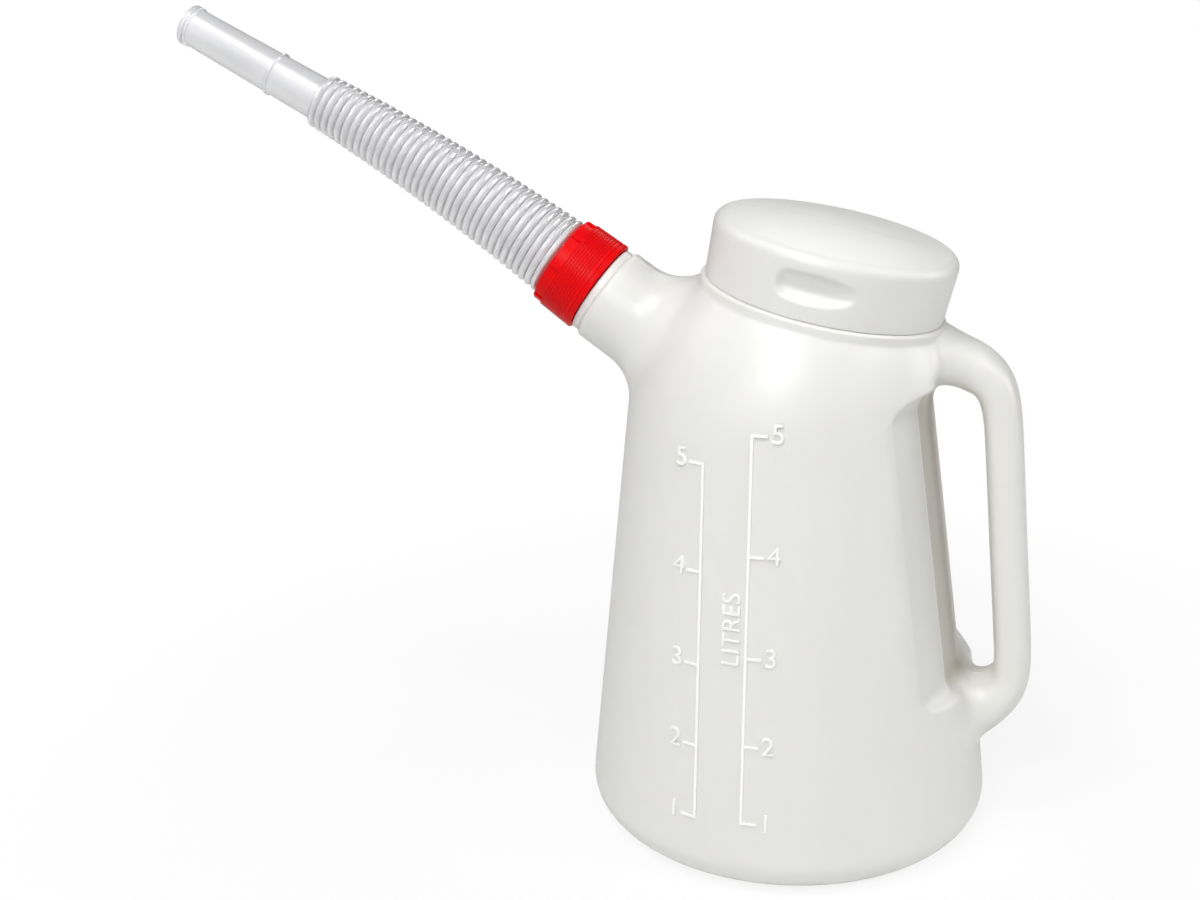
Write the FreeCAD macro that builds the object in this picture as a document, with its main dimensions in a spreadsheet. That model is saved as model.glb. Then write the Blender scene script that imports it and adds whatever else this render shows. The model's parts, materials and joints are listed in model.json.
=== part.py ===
import FreeCAD, Part
import Sketcher
import math
import os
from FreeCAD import Placement, Rotation, Vector

# Oil measuring jug: a blow-moulded jug with a hollow handle, a push-on lid,
# and a flexible corrugated spout held on the spout neck by a threaded collar.
# Millimetres. Origin: centre of the foot, on the surface the jug stands on.
# +Z up, +X towards the handle, -X towards the spout, Y = 0 the mould's parting plane.

doc = FreeCAD.newDocument("oil_measuring_jug")

# ---------------------------------------------------------------- driving sizes

SIZES = [
    ("wall", 2.0, "wall thickness of the blown jug"),
    ("base_radius", 100.0, "side cone carried down to the foot"),
    ("side_taper", 6.1, "degrees between the side and the vertical"),
    ("foot_corner_radius", 15.0, "rounded edge at the foot"),
    ("foot_ring_width", 14.0, "flat ring the jug stands on"),
    ("foot_rise", 3.0, "push-up of the base inside the ring"),
    ("side_height", 206.0, "where the straight side ends"),
    ("mouth_x", 14.5, "centre of the lid's lower edge, towards the handle"),
    ("mouth_z", 262.3, "centre of the lid's lower edge, height"),
    ("mouth_tilt", 11.9, "degrees the mouth leans towards the handle"),
    ("mouth_radius", 53.85, "outside of the neck under the lid"),
    ("mouth_height", 6.5, "neck above the lid's lower edge"),
    ("rim_band_radius", 57.8, "raised band below the lid's edge"),
    ("rim_band_height", 4.5, "height of that band"),
    ("lid_gap", 0.3, "lid's lower edge above the band"),
    ("lid_clearance", 0.35, "lid skirt round the neck"),
    ("lid_wall", 1.8, "wall of the lid"),
    ("lid_flare", 0.9, "how much wider the skirt is at its top"),
    ("lid_height", 30.0, "height of the lid's side"),
    ("lid_edge_radius", 5.8, "rounded edge of the lid's top"),
    ("lid_crown", 3.5, "dome of the lid's top"),
    ("lid_gate_radius", 3.0, "flat gate spot in the middle of the dome"),
    ("dish_length", 42.0, "finger dish along the lid's side"),
    ("dish_height", 13.5, "finger dish across"),
    ("dish_depth", 4.2, "finger dish into the side"),
    ("dish_level", 14.5, "finger dish above the lid's lower edge"),
    ("dish_offset", 4.2, "finger dish beside the middle, towards the handle"),
    ("dish_rim_radius", 2.0, "rounded rim of the finger dish"),
    ("spout_x", -94.85, "spout axis at the collar's inner end"),
    ("spout_z", 260.2, "spout axis at the collar's inner end, height"),
    ("spout_rise", 35.0, "degrees the spout neck rises"),
    ("stub_radius", 24.0, "outside of the spout neck's stub"),
    ("stub_corner_radius", 2.0, "rounded shoulder of the stub"),
    ("stub_blend_radius", 24.0, "blend of the stub into the jug"),
    ("neck_radius", 19.4, "threaded neck, outside"),
    ("neck_length", 16.0, "threaded neck inside the collar"),
    ("neck_gap", 4.5, "bare neck between the stub and the collar"),
    ("neck_ring_radius", 22.4, "ring round the neck behind the collar"),
    ("collar_stand_off", 0.5, "ring's face behind the collar"),
    ("collar_length", 23.0, "collar along its axis"),
    ("collar_radius", 23.9, "collar's outside at its inner end"),
    ("collar_taper", 2.0, "degrees the collar narrows outwards"),
    ("collar_step", 0.6, "step down to the collar's outer band"),
    ("collar_band", 5.0, "length of the outer band"),
    ("collar_lip", 2.2, "thickness of the collar's outer lip"),
    ("collar_clearance", 0.6, "collar bore round the threaded neck"),
    ("notch_count", 8, "grip notches round the outer band"),
    ("notch_width", 5.0, "grip notch across"),
    ("notch_length", 5.6, "grip notch along the axis"),
    ("notch_depth", 0.9, "grip notch into the band"),
    ("flange_thickness", 2.0, "flange of the flexible spout"),
    ("flange_gap", 0.3, "running gap at the flange"),
    ("hose_wall", 1.2, "wall of the flexible spout"),
    ("hose_length", 143.5, "corrugated length"),
    ("ring_count", 36, "corrugations"),
    ("ring_depth", 2.6, "crest above root"),
    ("hose_radius_inner_end", 20.3, "crest radius at the collar"),
    ("hose_radius_outer_end", 13.6, "crest radius at the nozzle"),
    ("hose_droop", 7.3, "degrees the hose bends down over its length"),
    ("cuff_radius", 17.4, "plain cuff inside the collar's lip"),
    ("nozzle_radius_inner_end", 10.8, "nozzle at the hose"),
    ("nozzle_radius_outer_end", 9.5, "nozzle at its tip"),
    ("nozzle_length", 79.0, "plain nozzle"),
    ("bead_place", 25.5, "stop bead along the nozzle"),
    ("bead_height", 0.9, "stop bead above the nozzle"),
    ("bead_width", 2.0, "stop bead along the axis"),
    ("tip_bead_length", 4.5, "thick end of the nozzle"),
    ("grip_x", 104.6, "middle of the grip"),
    ("grip_z", 141.0, "middle of the grip, height"),
    ("grip_lean", 5.2, "degrees the grip leans out downwards"),
    ("grip_thickness", 17.0, "grip, front to back of the hand"),
    ("grip_width", 28.0, "grip across the jug"),
    ("upper_arm_z", 234.7, "middle of the upper arm where it starts to bend"),
    ("upper_arm_x", 74.0, "where the upper arm starts to bend down"),
    ("upper_arm_fall", 16.0, "degrees the upper arm falls outwards"),
    ("upper_arm_height", 23.4, "upper arm where it starts to bend, top to underside"),
    ("upper_arm_width", 34.0, "upper arm where it starts to bend, across"),
    ("upper_arm_root", 26.0, "upper arm from the bend into the shoulder"),
    ("upper_arm_flare", 10.0, "how much the upper arm widens on each side into the shoulder"),
    ("upper_bend_end", 198.0, "height where the upper bend runs into the grip"),
    ("upper_bend_pull", 1.8, "how far the upper bend is pulled into its corner; 1 is a plain curve"),
    ("lower_arm_z", 61.0, "middle of the lower arm where it starts to bend"),
    ("lower_arm_x", 91.6, "where the lower arm starts to bend up"),
    ("lower_arm_rise", 35.0, "degrees the lower arm rises outwards"),
    ("lower_arm_height", 27.0, "lower arm where it starts to bend, top to underside"),
    ("lower_arm_width", 36.0, "lower arm where it starts to bend, across"),
    ("lower_arm_root", 28.8, "lower arm from the bend into the side"),
    ("lower_arm_flare", 6.0, "how much the lower arm widens on each side into the side"),
    ("lower_bend_end", 98.0, "height where the lower bend runs into the grip"),
    ("lower_bend_pull", 2.2, "how far the lower bend is pulled into its corner"),
    ("recess_depth", 12.4, "finger recess below the jug's side"),
    ("recess_nose", 28.5, "half width of the recess's flat wall"),
    ("recess_draft", 5.0, "degrees of draft on the flat wall"),
    ("recess_flank", 72.5, "degrees from the flank to the parting plane"),
    ("recess_floor", 75.5, "lowest point of the recess"),
    ("recess_top", 227.0, "highest point of the recess"),
    ("recess_corner_radius", 11.0, "rounding of the recess's floor and top"),
    ("recess_edge_radius", 6.0, "rounding between the recess's walls"),
    ("recess_lean", 1.28, "lean of the recess's wall over the side's taper"),
    ("mark_height", 0.6, "raised graduations above the side"),
    ("mark_width", 1.3, "line width of the graduations"),
    ("tick_length", 7.0, "length of a graduation tick"),
    ("litre_line_x", -2.2, "upright line of the litre scale"),
    ("quart_line_x", -24.6, "upright line of the quart scale"),
    ("mark_count", 5, "graduations on each scale"),
    ("litre", 1.0, "volume between two marks of the litre scale, litres"),
    ("quart", 0.946, "volume between two marks of the quart scale, litres"),
]

sheet = doc.addObject("Spreadsheet::Sheet", "sizes")
for row, (alias, number, words) in enumerate(SIZES, start=1):
    sheet.set("A%d" % row, alias)
    sheet.set("B%d" % row, str(number))
    sheet.set("C%d" % row, words)
    sheet.setAlias("B%d" % row, alias)
doc.recompute()


class Sizes:
    """Reads the sheet's values by name."""

    def __getattr__(self, alias):
        return float(sheet.get(alias))


size = Sizes()

DEG = math.pi / 180
TAPER = math.tan(size.side_taper * DEG)


def tilted(x, z, degrees):
    """Placement at (x, 0, z), turned so that its own Z leans towards +X."""
    return Placement(Vector(x, 0, z), Rotation(Vector(0, 1, 0), degrees))


MOUTH = tilted(size.mouth_x, size.mouth_z, size.mouth_tilt)
SPOUT = tilted(size.spout_x, size.spout_z, size.spout_rise - 90)


# ---------------------------------------------------------------- document helpers

def feature(name, shape):
    """A Part::Feature that holds a shape made here."""
    item = doc.addObject("Part::Feature", name)
    item.Shape = shape
    return item


def boolean(kind, name, base, tool):
    item = doc.addObject("Part::" + kind, name)
    item.Base = base
    item.Tool = tool
    return item


def fused(name, items):
    item = doc.addObject("Part::MultiFuse", name)
    item.Shapes = items
    return item


def origin_plane(body, role):
    return next(item for item in body.Origin.OriginFeatures if item.Role == role)


def profile_sketch(body, name, corners, arcs=()):
    """A closed outline in the body's XZ plane.

    corners: (x, z) pairs of expressions on the sheet, in order.
    arcs: {index of the side that is an arc: (radius expression, centre side)}.
    Each corner is held by its two distances, so the sketch follows the sheet.
    """
    arcs = dict(arcs)
    sketch = body.newObject("Sketcher::SketchObject", name)
    sketch.AttachmentSupport = [(origin_plane(body, "XZ_Plane"), "")]
    sketch.MapMode = "FlatFace"
    points = [Vector(value(x), value(z), 0) for x, z in corners]
    count = len(points)
    for index, start in enumerate(points):
        end = points[(index + 1) % count]
        if index in arcs:
            radius, side = arcs[index]
            sketch.addGeometry(arc_between(start, end, value(radius), side), False)
        else:
            sketch.addGeometry(Part.LineSegment(start, end), False)
    constrain = Sketcher.Constraint
    for index in range(count):
        # An arc's own start and end follow its turning sense.
        here = 2 if arcs.get(index, (0, 1))[1] < 0 else 1
        before = (index - 1) % count
        there = 1 if arcs.get(before, (0, 1))[1] < 0 else 2
        sketch.addConstraint(constrain("Coincident", before, there, index, here))
        for axis, text in (("DistanceX", corners[index][0]), ("DistanceY", corners[index][1])):
            if text == "0":
                sketch.addConstraint(constrain("PointOnObject", index, here, -2 if axis == "DistanceX" else -1))
            else:
                number = sketch.addConstraint(constrain(axis, index, here, value(text)))
                sketch.setExpression("Constraints[%d]" % number, text)
        if index in arcs:
            number = sketch.addConstraint(constrain("Radius", index, value(arcs[index][0])))
            sketch.setExpression("Constraints[%d]" % number, arcs[index][0])
    return sketch


def value(text):
    """The number an expression on the sheet gives."""
    result = sheet.evalExpression(text)
    return float(getattr(result, "Value", result))


def arc_between(start, end, radius, side):
    """Minor arc from start to end; side +1 turns left on the way, -1 turns right."""
    chord = end - start
    half = chord.Length / 2
    rise = math.sqrt(max(radius * radius - half * half, 0.0))
    normal = Vector(-chord.y, chord.x, 0).normalize()
    centre = (start + end) * 0.5 + normal * rise * side
    first, last = (start, end) if side > 0 else (end, start)
    angle = [math.atan2(point.y - centre.y, point.x - centre.x) for point in (first, last)]
    return Part.ArcOfCircle(Part.Circle(centre, Vector(0, 0, 1), radius), angle[0], angle[1])


def revolved(name, corners, arcs=(), place=None):
    """A PartDesign body turned from an outline about its own Z axis."""
    body = doc.addObject("PartDesign::Body", name)
    sketch = profile_sketch(body, name + "_outline", corners, arcs)
    turn = body.newObject("PartDesign::Revolution", name + "_turned")
    turn.Profile = sketch
    turn.ReferenceAxis = (sketch, ["V_Axis"])
    turn.Angle = 360
    sketch.Visibility = False
    if place is not None:
        body.Placement = place
    return body


# ---------------------------------------------------------------- jug: outside and inside

def vessel(name, inset):
    """Foot and straight side, turned. The inside has the same corner centre."""
    dx = "(%s)" % ("sizes.wall" if inset else "0 * sizes.wall")
    k = "tan(sizes.side_taper)"
    corner = "sizes.foot_corner_radius"
    centre = "(sizes.base_radius - %s * %s - %s / cos(sizes.side_taper))" % (k, corner, corner)
    top = "(sizes.base_radius - %s * sizes.side_height - %s / cos(sizes.side_taper))" % (k, dx)
    ring = "(%s - sizes.foot_ring_width)" % centre
    corners = [
        ("0", "sizes.foot_rise + %s" % dx),
        ("%s - 2 * sizes.foot_rise" % ring, "sizes.foot_rise + %s" % dx),
        (ring, dx if inset else "0"),
        (centre, dx if inset else "0"),
        ("%s + (%s - %s) * cos(sizes.side_taper)" % (centre, corner, dx),
         "%s + (%s - %s) * sin(sizes.side_taper)" % (corner, corner, dx)),
        (top, "sizes.side_height"),
        ("0", "sizes.side_height"),
    ]
    return revolved(name, corners, {3: ("%s - %s" % (corner, dx), 1)})


def shoulder(name, inset):
    """Loft of circles from the side's top to the tilted rim.

    The outline is one arc, tangent to the side. The centre and the tilt grow
    with the square of the height, so that the loft leaves the side smoothly.
    """
    low_radius = size.base_radius - TAPER * size.side_height
    band_foot = -size.lid_gap - size.rim_band_height
    rim = MOUTH.multVec(Vector(0, 0, band_foot))
    high_radius = size.rim_band_radius
    rise = rim.z - size.side_height
    chord = math.atan2(low_radius - high_radius, rise)
    start = size.side_taper * DEG
    finish = 2 * chord - start
    arc = math.hypot(low_radius - high_radius, rise) / (2 * math.sin(chord - start))
    steps = 8
    rings = []
    for step in range(steps + 1):
        angle = start + (finish - start) * step / steps
        height = arc * (math.sin(angle) - math.sin(start))
        radius = low_radius - arc * (math.cos(start) - math.cos(angle))
        share = (height / rise) ** 2
        place = tilted(rim.x * share, size.side_height + height, size.mouth_tilt * share)
        circle = Part.Circle(Vector(0, 0, 0), Vector(0, 0, 1), radius - inset / math.cos(angle))
        ring = Part.Wire(circle.toShape())
        ring.Placement = place
        rings.append(ring)
    return feature(name, Part.makeLoft(rings, True, False))


def mouth(name, inset):
    """Raised band under the lid and the neck that carries it, turned about the mouth's axis."""
    dx = "sizes.wall"
    if inset:
        corners = [
            ("0", "-sizes.lid_gap - sizes.rim_band_height - 0.4"),
            ("sizes.rim_band_radius - %s" % dx, "-sizes.lid_gap - sizes.rim_band_height - 0.4"),
            ("sizes.rim_band_radius - %s" % dx, "-sizes.lid_gap - 1.5 * %s" % dx),
            ("sizes.mouth_radius - %s" % dx, "-sizes.lid_gap - 0.5 * %s" % dx),
            ("sizes.mouth_radius - %s" % dx, "sizes.mouth_height + 5"),
            ("0", "sizes.mouth_height + 5"),
        ]
        return revolved(name, corners, place=MOUTH)
    band = "sizes.rim_band_radius"
    foot = "-sizes.lid_gap - sizes.rim_band_height"
    corners = [
        ("0", foot),
        (band, foot),
        (band, "-sizes.lid_gap - 1.5"),
        (band + " - 1.5", "-sizes.lid_gap"),
        ("sizes.mouth_radius", "-sizes.lid_gap"),
        ("sizes.mouth_radius", "sizes.mouth_height - 1"),
        ("sizes.mouth_radius - 1", "sizes.mouth_height"),
        ("0", "sizes.mouth_height"),
    ]
    return revolved(name, corners, {2: ("1.5", 1), 5: ("1", 1)}, MOUTH)


def spout_neck(name, inset):
    """Threaded neck and stub, turned about the spout's axis. It ends inside the jug."""
    deep = "-60"
    if inset:
        corners = [
            ("0", deep),
            ("sizes.stub_radius - sizes.wall", deep),
            ("sizes.stub_radius - sizes.wall", "-sizes.neck_gap - sizes.wall - 2"),
            ("sizes.neck_ring_radius - sizes.wall", "-sizes.neck_gap"),
            ("sizes.neck_ring_radius - sizes.wall", "-sizes.collar_stand_off - sizes.wall"),
            ("sizes.neck_radius - sizes.wall", "-sizes.collar_stand_off"),
            ("sizes.neck_radius - sizes.wall", "sizes.neck_length + 5"),
            ("0", "sizes.neck_length + 5"),
        ]
        return revolved(name, corners, place=SPOUT)
    corner = "sizes.stub_corner_radius"
    corners = [
        ("0", deep),
        ("sizes.stub_radius", deep),
        ("sizes.stub_radius", "-sizes.neck_gap - " + corner),
        ("sizes.stub_radius - " + corner, "-sizes.neck_gap"),
        ("sizes.neck_ring_radius", "-sizes.neck_gap"),
        ("sizes.neck_ring_radius", "-sizes.collar_stand_off - 0.8"),
        ("sizes.neck_ring_radius - 0.8", "-sizes.collar_stand_off"),
        ("sizes.neck_radius", "-sizes.collar_stand_off"),
        ("sizes.neck_radius", "sizes.neck_length - 1"),
        ("sizes.neck_radius - 1", "sizes.neck_length"),
        ("0", "sizes.neck_length"),
    ]
    return revolved(name, corners, {2: (corner, 1), 5: ("0.8", 1), 8: ("1", 1)}, SPOUT)


def oval(middle, heading, half_thick, half_wide):
    """Closed superellipse across a path in the plane Y = 0 that runs at `heading` degrees."""
    power = 2 / 2.8
    across = Vector(-math.sin(heading * DEG), 0, math.cos(heading * DEG))
    points = []
    count = 24
    for step in range(count):
        angle = 2 * math.pi * step / count
        c, s = math.cos(angle), math.sin(angle)
        u = half_thick * math.copysign(abs(c) ** power, c)
        v = half_wide * math.copysign(abs(s) ** power, s)
        points.append(middle + across * u + Vector(0, v, 0))
    curve = Part.BSplineCurve()
    curve.interpolate(points, PeriodicFlag=True)
    return Part.Wire(curve.toShape())


def grip_point(z):
    """Middle of the grip at a height: a straight line that leans out downwards."""
    return Vector(size.grip_x + math.tan(size.grip_lean * DEG) * (size.grip_z - z), 0, z)


def arm_direction(angle):
    """Unit vector from the grip to the jug along an arm that makes this angle with the horizontal."""
    return Vector(-math.cos(angle * DEG), 0, math.sin(angle * DEG))


def meeting_point(point, direction):
    """Where a line in the plane Y = 0 meets the grip's middle line."""
    lean = math.tan(size.grip_lean * DEG)
    along = (grip_point(point.z).x - point.x) / (direction.x + lean * direction.z)
    return point + direction * along


def bend(start, corner, end, pull, share):
    """Point on the arc from start to end. A larger pull brings it nearer to the corner."""
    weights = ((1 - share) ** 2, 2 * pull * share * (1 - share), share ** 2)
    return (start * weights[0] + corner * weights[1] + end * weights[2]) * (1 / sum(weights))


def arm_stations(arm_foot, direction, bend_end, pull, half_thick, half_wide, root, flare):
    """Stations of one arm and its bend, from inside the jug to the grip.

    Each one is its middle, its heading in degrees and its two half sizes.
    """
    stations = []
    inward = math.degrees(math.atan2(-direction.z, -direction.x))
    for share in (1.0, 0.5):
        middle = arm_foot + direction * root * share
        stations.append((middle, inward, half_thick + 0.1 * flare, half_wide + flare * share))
    grip = size.grip_thickness / 2, size.grip_width / 2
    corner = meeting_point(arm_foot, direction)
    end = grip_point(bend_end)
    steps = 6
    for step in range(steps):
        share = step / steps
        middle = bend(arm_foot, corner, end, pull, share)
        ahead = bend(arm_foot, corner, end, pull, share + 0.02) - middle
        heading = math.degrees(math.atan2(ahead.z, ahead.x))
        rest = (1 - share) ** 2.5
        stations.append((middle, heading, grip[0] + (half_thick - grip[0]) * rest,
                         grip[1] + (half_wide - grip[1]) * rest))
    return stations


def handle(name, inset):
    """Loft of ovals: upper arm, bend, grip, bend, lower arm."""
    upper = arm_stations(Vector(size.upper_arm_x, 0, size.upper_arm_z), arm_direction(size.upper_arm_fall),
                         size.upper_bend_end, size.upper_bend_pull, size.upper_arm_height / 2,
                         size.upper_arm_width / 2, size.upper_arm_root, size.upper_arm_flare)
    lower = arm_stations(Vector(size.lower_arm_x, 0, size.lower_arm_z), arm_direction(-size.lower_arm_rise),
                         size.lower_bend_end, size.lower_bend_pull, size.lower_arm_height / 2,
                         size.lower_arm_width / 2, size.lower_arm_root, size.lower_arm_flare)
    grip = []
    for step in range(4):
        z = size.upper_bend_end + (size.lower_bend_end - size.upper_bend_end) * step / 3
        grip.append((grip_point(z), size.grip_lean - 90, size.grip_thickness / 2, size.grip_width / 2))
    upward = [(middle, heading + 180, thick, width) for middle, heading, thick, width in reversed(lower)]
    ovals = [oval(middle, heading, thick - inset, width - inset)
             for middle, heading, thick, width in upper + grip + upward]
    return feature(name, Part.makeLoft(ovals, True, False))


def rounded_outline(points, radii, z):
    """Closed wire at height z through the corners, each one rounded by its radius."""
    edges = []
    first = last = None
    for index, (x, y) in enumerate(points):
        corner = Vector(x, y, z)
        before = Vector(*points[index - 1], z) - corner
        after = Vector(*points[(index + 1) % len(points)], z) - corner
        before.normalize()
        after.normalize()
        half_turn = (math.pi - before.getAngle(after)) / 2
        reach = radii[index] * math.tan(half_turn)
        start = corner + before * reach
        end = corner + after * reach
        if reach > 0.01:
            middle = (before + after).normalize() * (radii[index] / math.cos(half_turn) - radii[index])
            if last is not None:
                edges.append(Part.makeLine(last, start))
            edges.append(Part.Arc(start, corner + middle, end).toShape())
        elif last is not None:
            edges.append(Part.makeLine(last, start))
        first = first or start
        last = end
    edges.append(Part.makeLine(last, first))
    return Part.Wire(edges)


def finger_recess(name, inset):
    """Cutter for the finger recess: a flat wall and two flanks that follow the side's taper.

    Its floor and top run into the wall by a large radius.
    """
    low = size.recess_floor - inset
    high = size.recess_top + inset
    large = size.recess_corner_radius + inset
    small = size.recess_edge_radius + inset
    lean = TAPER * size.recess_lean
    nose_at_top = size.base_radius - TAPER * size.recess_top - size.recess_depth - inset
    half = size.recess_nose + inset * 0.5
    draft = math.tan(size.recess_draft * DEG) * size.recess_nose
    reach = 40.0
    flank = reach / math.tan(size.recess_flank * DEG)

    def outline(z, shift):
        nose = nose_at_top + lean * (high - z) + shift
        near = [(nose, 0.0), (nose - draft, -half), (nose - draft - flank, -half - reach), (160.0, -half - reach)]
        points = near + [(x, -y) for x, y in reversed(near[1:])]
        return rounded_outline(points, [small, small, 0, 0, 0, 0, small], z)

    steps = 6
    turns = [90.0 * step / steps * DEG for step in range(steps + 1)]
    floor = [outline(low + large * (1 - math.sin(turn)), large * (1 - math.cos(turn))) for turn in turns]
    roof = [outline(high - large * (1 - math.sin(turn)), large * (1 - math.cos(turn))) for turn in turns]
    pieces = [Part.makeLoft(floor, True, False), Part.makeLoft([floor[0], roof[0]], True, True),
              Part.makeLoft(roof, True, False)]
    return feature(name, pieces[0].fuse(pieces[1:]).removeSplitter())


def jug_form(tag, inset):
    """The jug's outside, or its inside when inset by the wall."""
    solid = fused("jug_round_" + tag, [vessel("vessel_" + tag, inset), shoulder("shoulder_" + tag, inset),
                                       mouth("mouth_" + tag, inset)])
    recessed = boolean("Cut", "jug_recessed_" + tag, solid, finger_recess("finger_recess_" + tag, inset))
    with_stub = fused("jug_with_stub_" + tag, [recessed, spout_neck("spout_neck_" + tag, inset)])
    doc.recompute()
    blended = feature("jug_blended_" + tag, stub_blend(with_stub.Shape, inset))
    return fused("jug_" + tag, [blended, handle("handle_" + tag, inset)])


def middle_of(edge):
    return edge.valueAt((edge.FirstParameter + edge.LastParameter) / 2)


def stub_blend(solid, inset):
    """Fillet where the stub runs into the shoulder and the side."""
    axis = SPOUT.Rotation.multVec(Vector(0, 0, 1))
    radius = size.stub_radius - inset

    def on_stub(point):
        out = point - SPOUT.Base
        along = out.dot(axis)
        return abs((out - axis * along).Length - radius) < 0.05 and along < -size.neck_gap - 10

    seam = [edge for edge in solid.Edges
            if all(on_stub(edge.valueAt(edge.FirstParameter + (edge.LastParameter - edge.FirstParameter) * share))
                   for share in (0.1, 0.4, 0.7)) and not is_straight(edge)]
    return solid.makeFillet(size.stub_blend_radius + inset, seam)


def is_straight(edge):
    return edge.Curve.TypeId == "Part::GeomLine"


# ---------------------------------------------------------------- jug: graduations

def filled_heights(inside, volumes):
    """Heights at which this inside, cut into level layers, holds each of the volumes."""
    layer = 3.0
    level = inside.BoundBox.ZMin
    held = 0.0
    heights = []
    for volume in volumes:
        while True:
            outlines = inside.slice(Vector(0, 0, 1), level + layer / 2)
            area = sum(Part.Face(outline).Area for outline in outlines)
            if held + area * layer > volume:
                heights.append(level + (volume - held) / area)
                break
            held += area * layer
            level += layer
    return heights


def graduations(inside):
    """Two upright lines with ticks, raised on the side: litres outwards, quarts the other way."""
    outside = size.base_radius
    low, high = 12.0, size.side_height + 16
    bottom_radius = outside - TAPER * low
    top_radius = outside - TAPER * high
    proud = size.mark_height
    layer = Part.makeCone(bottom_radius + proud, top_radius + proud, high - low, Vector(0, 0, low))
    core = Part.makeCone(bottom_radius - 0.5, top_radius - 0.5, high - low, Vector(0, 0, low))
    layer = layer.cut(core)
    bars = []
    for line_x, litres, side in ((size.litre_line_x, size.litre, 1), (size.quart_line_x, size.quart, -1)):
        marks = filled_heights(inside, [litres * 1e6 * (number + 1) for number in range(int(size.mark_count))])
        half = size.mark_width / 2
        bars.append(Part.makeBox(size.mark_width, 60, marks[-1] - marks[0] + size.mark_width,
                                 Vector(line_x - half, -110, marks[0] - half)))
        for mark in marks:
            start = line_x if side > 0 else line_x - size.tick_length
            bars.append(Part.makeBox(size.tick_length, 60, size.mark_width, Vector(start, -110, mark - half)))
    scale = bars[0].fuse(bars[1:])
    return feature("graduations", layer.common(scale))


jug_outer = jug_form("outer", 0.0)
jug_inner = jug_form("inner", size.wall)
doc.recompute()
jug_marked = fused("jug_marked", [jug_outer, graduations(jug_inner.Shape)])
jug_body = boolean("Cut", "jug_body", jug_marked, jug_inner)


# ---------------------------------------------------------------- lid

def lid_turned(name, inset):
    """Outside of the lid, or its inside when inset by the lid's wall, turned about the mouth's axis."""
    rim = "(sizes.mouth_radius + sizes.lid_clearance + sizes.lid_wall)"
    dx = "sizes.lid_wall" if inset else "0 * sizes.lid_wall"
    edge = "(sizes.lid_edge_radius - %s)" % dx
    top = "(%s + sizes.lid_flare)" % rim
    foot = "-1" if inset else "0"
    # The dome is one arc, centred on the axis, from the rounded edge to the flat gate spot in the middle.
    flat = "(%s - sizes.lid_edge_radius)" % top
    gate = "sizes.lid_gate_radius"
    fall = "((%s^2 - %s^2 - sizes.lid_crown^2) / (2 * sizes.lid_crown))" % (flat, gate)
    dome = "sqrt(%s^2 + %s^2)" % (flat, fall)
    corners = [
        ("0", foot),
        ("%s - %s" % (rim, dx), foot),
        ("%s - %s" % (top, dx), "sizes.lid_height - sizes.lid_edge_radius"),
        (flat, "sizes.lid_height - %s" % dx),
        (gate, "sizes.lid_height + sizes.lid_crown - %s" % dx),
        ("0", "sizes.lid_height + sizes.lid_crown - %s" % dx),
    ]
    return revolved(name, corners, {2: (edge, 1), 3: (dome, 1)}, MOUTH)


def lid_dishes(name, inset):
    """Finger dishes front and back: round-ended bars sunk into the lid's side."""
    chord = size.dish_height / 2
    bar = (chord ** 2 + size.dish_depth ** 2) / (2 * size.dish_depth)
    rim = size.mouth_radius + size.lid_clearance + size.lid_wall
    skirt = rim + size.lid_flare * size.dish_level / size.lid_height
    reach = size.dish_length / 2 - chord
    bars = []
    for side in (-1, 1):
        middle = Vector(size.dish_offset, side * (skirt - size.dish_depth + bar), size.dish_level)
        bars.append(capsule(middle, reach, bar + inset))
    dishes = bars[0].fuse(bars[1])
    dishes.Placement = MOUTH
    return feature(name, dishes)


def capsule(middle, reach, radius):
    """Round-ended bar along X: a half outline turned once about its own axis."""
    left = middle - Vector(reach, 0, 0)
    right = middle + Vector(reach, 0, 0)
    up = Vector(0, 0, radius)
    bend = Vector(radius / math.sqrt(2), 0, 0)
    outline = Part.Wire([
        Part.Arc(left - Vector(radius, 0, 0), left - bend + up / math.sqrt(2), left + up).toShape(),
        Part.makeLine(left + up, right + up),
        Part.Arc(right + up, right + bend + up / math.sqrt(2), right + Vector(radius, 0, 0)).toShape(),
        Part.makeLine(right + Vector(radius, 0, 0), left - Vector(radius, 0, 0)),
    ])
    return Part.Face(outline).revolve(middle, Vector(1, 0, 0), 360)


def dish_rims(solid):
    """Rounds the rims where the dishes run out of the lid's side."""
    rims = [edge for edge in solid.Edges if abs(middle_of(edge).y) > size.mouth_radius / 2
            and not is_straight(edge) and edge.Curve.TypeId != "Part::GeomCircle"]
    return solid.makeFillet(size.dish_rim_radius, rims)


lid_dished = boolean("Cut", "lid_dished", lid_turned("lid_turned_outside", False), lid_dishes("lid_dishes", 0.0))
doc.recompute()
lid_outside = feature("lid_outside", dish_rims(lid_dished.Shape))
lid_inside = boolean("Cut", "lid_inside", lid_turned("lid_turned_inside", True),
                     lid_dishes("lid_dishes_inside", size.lid_wall))
lid = boolean("Cut", "lid", lid_outside, lid_inside)


# ---------------------------------------------------------------- collar nut

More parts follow.
